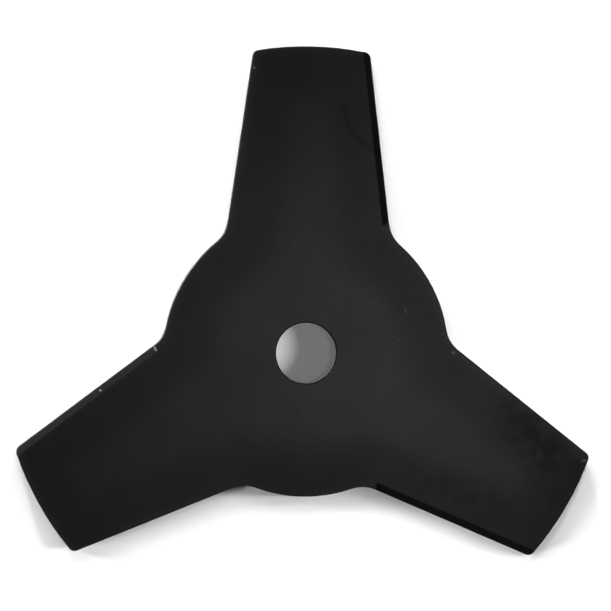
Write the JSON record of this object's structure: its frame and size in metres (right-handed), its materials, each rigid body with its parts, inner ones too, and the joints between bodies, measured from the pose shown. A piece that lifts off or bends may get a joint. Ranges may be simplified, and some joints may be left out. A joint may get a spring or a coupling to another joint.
{
  "type": "brush cutter blade",
  "caption": "Flat steel cutting plate with a round hub, a central bore and tapering teeth whose long edges are ground on one side.",
  "frame": {"origin": "on the bore's axis, at the underside, which is the lower clamping face", "axes": "+Z along the bore's axis, out of the upper face; +Y along the middle line of one tooth; +X to its right seen from above"},
  "size_m": [0.2402, 0.2108, 0.0014],
  "materials": {
    "black_paint": "satin"
  },
  "bodies": {
    "root": {"blade": "black_paint"}
  },
  "joints": []
}
